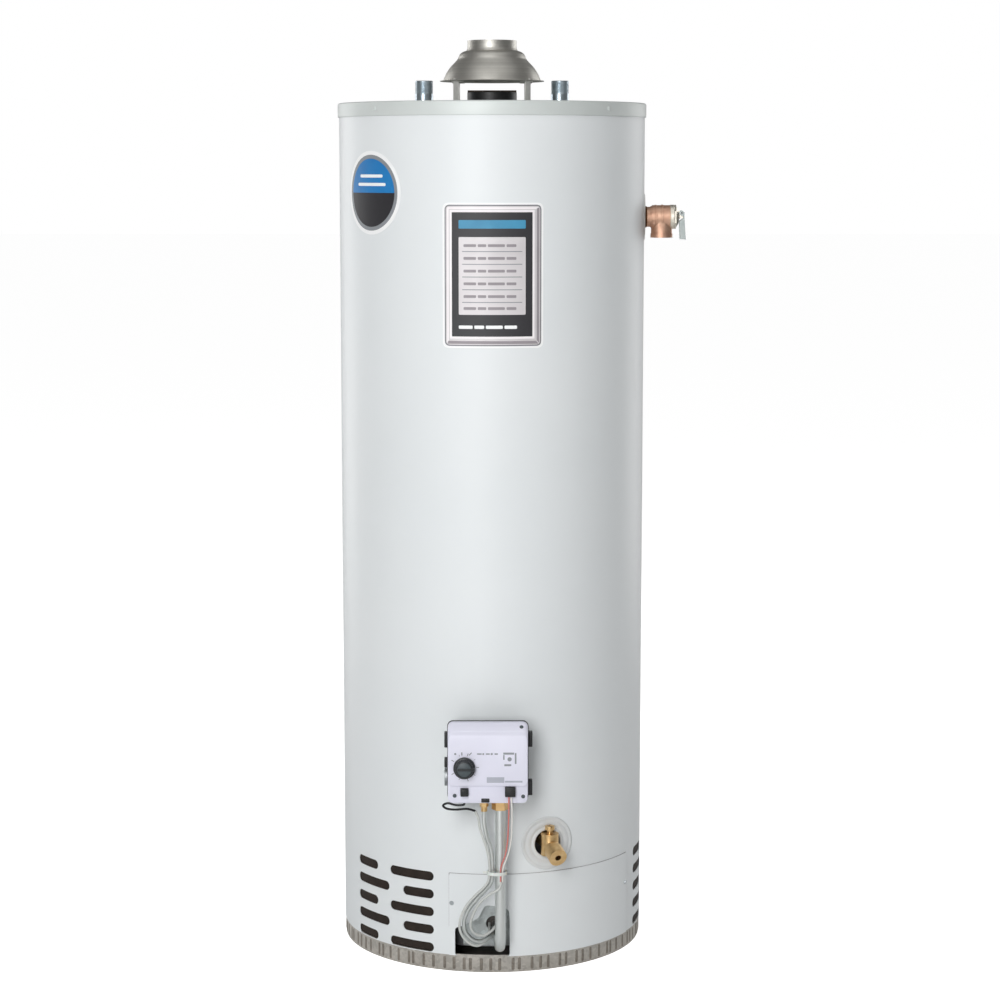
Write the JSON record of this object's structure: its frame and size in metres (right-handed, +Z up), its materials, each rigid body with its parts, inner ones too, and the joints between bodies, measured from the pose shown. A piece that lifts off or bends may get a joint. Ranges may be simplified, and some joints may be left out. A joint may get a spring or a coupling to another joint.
{
  "type": "tank water heater",
  "caption": "Tall gas-fired storage water heater with draft hood, pipe nipples, relief valve, gas control, drain valve and a vented burner compartment.",
  "frame": {"origin": "on the tank axis at the underside of the bottom pan, where the heater stands on the floor", "axes": "+Z up along the tank axis; the gas control faces -Y; the relief valve points to +X"},
  "size_m": [0.5219, 0.5476, 1.363],
  "materials": {
    "galvanised_steel": "zinc spangle, semi-matt",
    "painted_steel": "gloss white enamel",
    "painted_pan": "gloss pale grey enamel",
    "zinc_screws": "bright zinc plate",
    "foam": "rigid polyurethane foam",
    "tank_steel": "dark blue enamelled steel",
    "black_flue": "black enamelled steel",
    "baffle_steel": "heat-stained steel",
    "aluminised_steel": "spun aluminised steel",
    "galvanised_strip": "galvanised strip",
    "zinc_nipple": "zinc-plated steel pipe",
    "liner_plastic": "polypropylene",
    "anode_metal": "cast magnesium",
    "bronze": "sand-cast bronze",
    "nickel_brass": "nickel-plated brass",
    "brass": "machined brass",
    "spring_steel": "bright steel",
    "lever_steel": "stamped steel, grey-green zinc",
    "white_plastic": "moulded white plastic",
    "grey_plastic": "moulded pale grey plastic",
    "rubber": "moulded rubber",
    "chamber_steel": "mill-finish steel",
    "burner_steel": "heat-stained stamped steel",
    "aluminium_tube": "drawn aluminium",
    "lead_sleeve": "braided glass-fibre sleeve",
    "wire_pvc": "wire insulation, one red and one white",
    "black_plastic": "moulded black plastic",
    "glass": "heat-proof glass",
    "cast_aluminium": "die-cast aluminium",
    "pale_plastic": "moulded lavender-white plastic",
    "knob_plastic": "moulded dark grey plastic",
    "label_film": "printed film"
  },
  "bodies": {
    "heater": {"base_ring": "galvanised_steel", "bottom_pan": "galvanised_steel", "jacket": "painted_steel", "top_pan": "painted_pan", "pan_screws": "zinc_screws", "insulation": "foam", "tank_shell": "tank_steel", "tank_top_head": "tank_steel", "tank_bottom_head": "tank_steel", "flue_tube": "black_flue", "flue_baffle": "baffle_steel", "tank_spuds": "tank_steel", "draft_hood": "aluminised_steel", "hood_legs": "galvanised_strip", "hood_fasteners": "zinc_screws", "cold_nipple": "zinc_nipple", "hot_nipple": "zinc_nipple", "nipple_liners": "liner_plastic", "dip_tube": "liner_plastic", "anode_rod": "anode_metal", "relief_valve_body": "bronze", "relief_bonnet": "nickel_brass", "relief_spring": "spring_steel", "relief_probe": "bronze", "relief_escutcheon": "white_plastic", "lever_pin": "spring_steel", "drain_escutcheon": "grey_plastic", "drain_valve_body": "brass", "combustion_chamber": "chamber_steel", "flame_arrestor": "chamber_steel", "burner": "burner_steel", "burner_orifice": "brass", "supply_tube": "aluminium_tube", "supply_nut": "aluminium_tube", "pilot_tube": "aluminium_tube", "pilot_nut": "brass", "pilot_burner": "burner_steel", "sensor_lead": "lead_sleeve", "sensor_wires": "wire_pvc", "wire_plug": "black_plastic", "igniter_lead": "black_plastic", "cable_tie": "white_plastic", "inner_door": "galvanised_steel", "inner_door_gasket": "rubber", "sight_glass": "glass", "inner_door_screws": "zinc_screws", "outer_door": "painted_steel", "outer_door_screws": "zinc_screws", "control_body": "cast_aluminium", "control_cover": "pale_plastic", "control_clips": "black_plastic", "control_shank": "brass", "labels": "label_film"},
    "relief_stem": {"relief_stem": "brass"},
    "test_lever": {"test_lever": "lever_steel"},
    "drain_washer": {"drain_washer": "rubber"},
    "drain_stem": {"drain_stem": "brass"},
    "knob_spindle": {"knob_spindle": "spring_steel"},
    "temperature_knob": {"temperature_knob": "knob_plastic"},
    "igniter_button": {"igniter_button": "black_plastic"}
  },
  "joints": [
    {"name": "lever_lift", "type": "hinge", "parent": "heater", "child": "test_lever", "pos_m": [0.2846, 0, 1.108], "axis": [0, -1, 0], "range_deg": [0, 90], "stiffness_Nm_per_rad": 0.6, "springref_deg": -5.73},
    {"name": "stem_lift", "type": "slide", "parent": "heater", "child": "relief_stem", "axis": [1, 0, 0], "range_m": [0, 0.0019], "deforming": ["relief_spring"]},
    {"name": "drain_lift", "type": "slide", "parent": "heater", "child": "drain_washer", "axis": [0, 0, 1], "range_m": [0, 0.003]},
    {"name": "drain_turn", "type": "hinge", "parent": "drain_washer", "child": "drain_stem", "pos_m": [0.08476, -0.22197, 0.2], "axis": [0, 0, 1], "range_deg": [0, 720]},
    {"name": "knob_push", "type": "slide", "parent": "heater", "child": "knob_spindle", "axis": [0, 1, 0], "range_m": [0, 0.003], "stiffness_N_per_m": 400, "springref_m": -0.002},
    {"name": "knob_turn", "type": "hinge", "parent": "knob_spindle", "child": "temperature_knob", "pos_m": [-0.039, -0.308, 0.327], "axis": [0, -1, 0], "range_deg": [-15, 240]},
    {"name": "igniter_press", "type": "slide", "parent": "heater", "child": "igniter_button", "axis": [0, 1, 0], "range_m": [0, 0.0025], "stiffness_N_per_m": 900, "springref_m": -0.003}
  ],
  "couplings": [
    {"joint": "lever_lift", "follows": "stem_lift", "rad_per_m": 826.73},
    {"joint": "drain_turn", "follows": "drain_lift", "rad_per_m": 4188.8}
  ]
}
